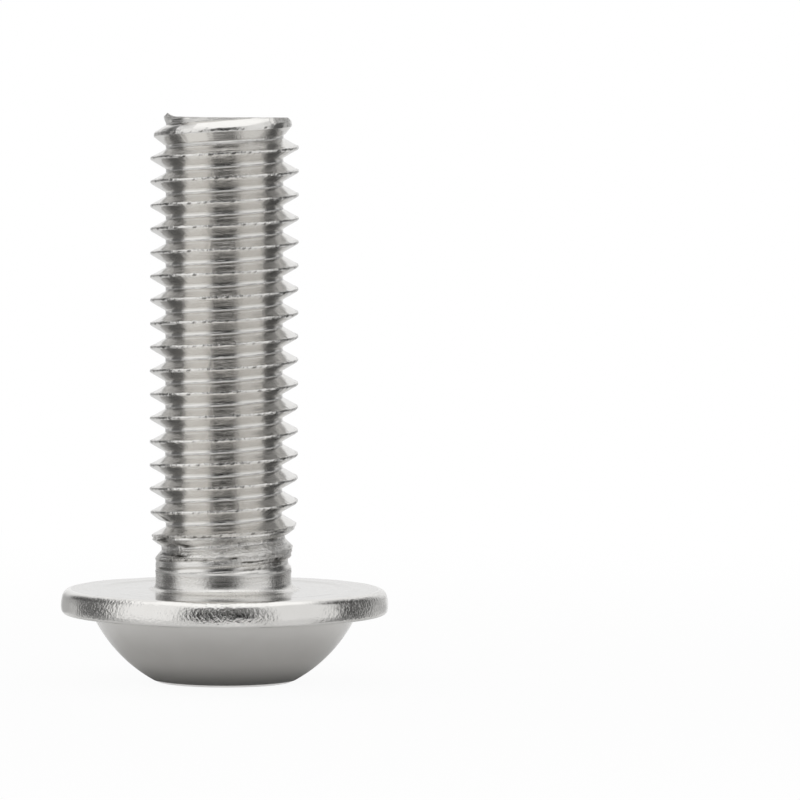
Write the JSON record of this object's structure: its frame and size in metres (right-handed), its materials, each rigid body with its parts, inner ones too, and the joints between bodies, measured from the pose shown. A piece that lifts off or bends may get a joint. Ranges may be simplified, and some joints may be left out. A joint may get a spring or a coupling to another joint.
{
  "type": "flange button head screw",
  "caption": "Button head machine screw with a round flange under the dome, a hexagon socket and a fully threaded shank, standing on its head.",
  "frame": {"origin": "on the screw's axis, in the plane of the flat ring round the socket, which is the face it stands on", "axes": "+Z runs along the axis from the head to the thread's tip; +X passes through two corners of the hexagon socket"},
  "size_m": [0.0174, 0.0174, 0.0299],
  "materials": {
    "bright_steel": "bright stainless or nickel finish: polished dome and bearing face, satin ledge, hammered rim"
  },
  "bodies": {
    "root": {"button_head_screw": "bright_steel"}
  },
  "joints": []
}
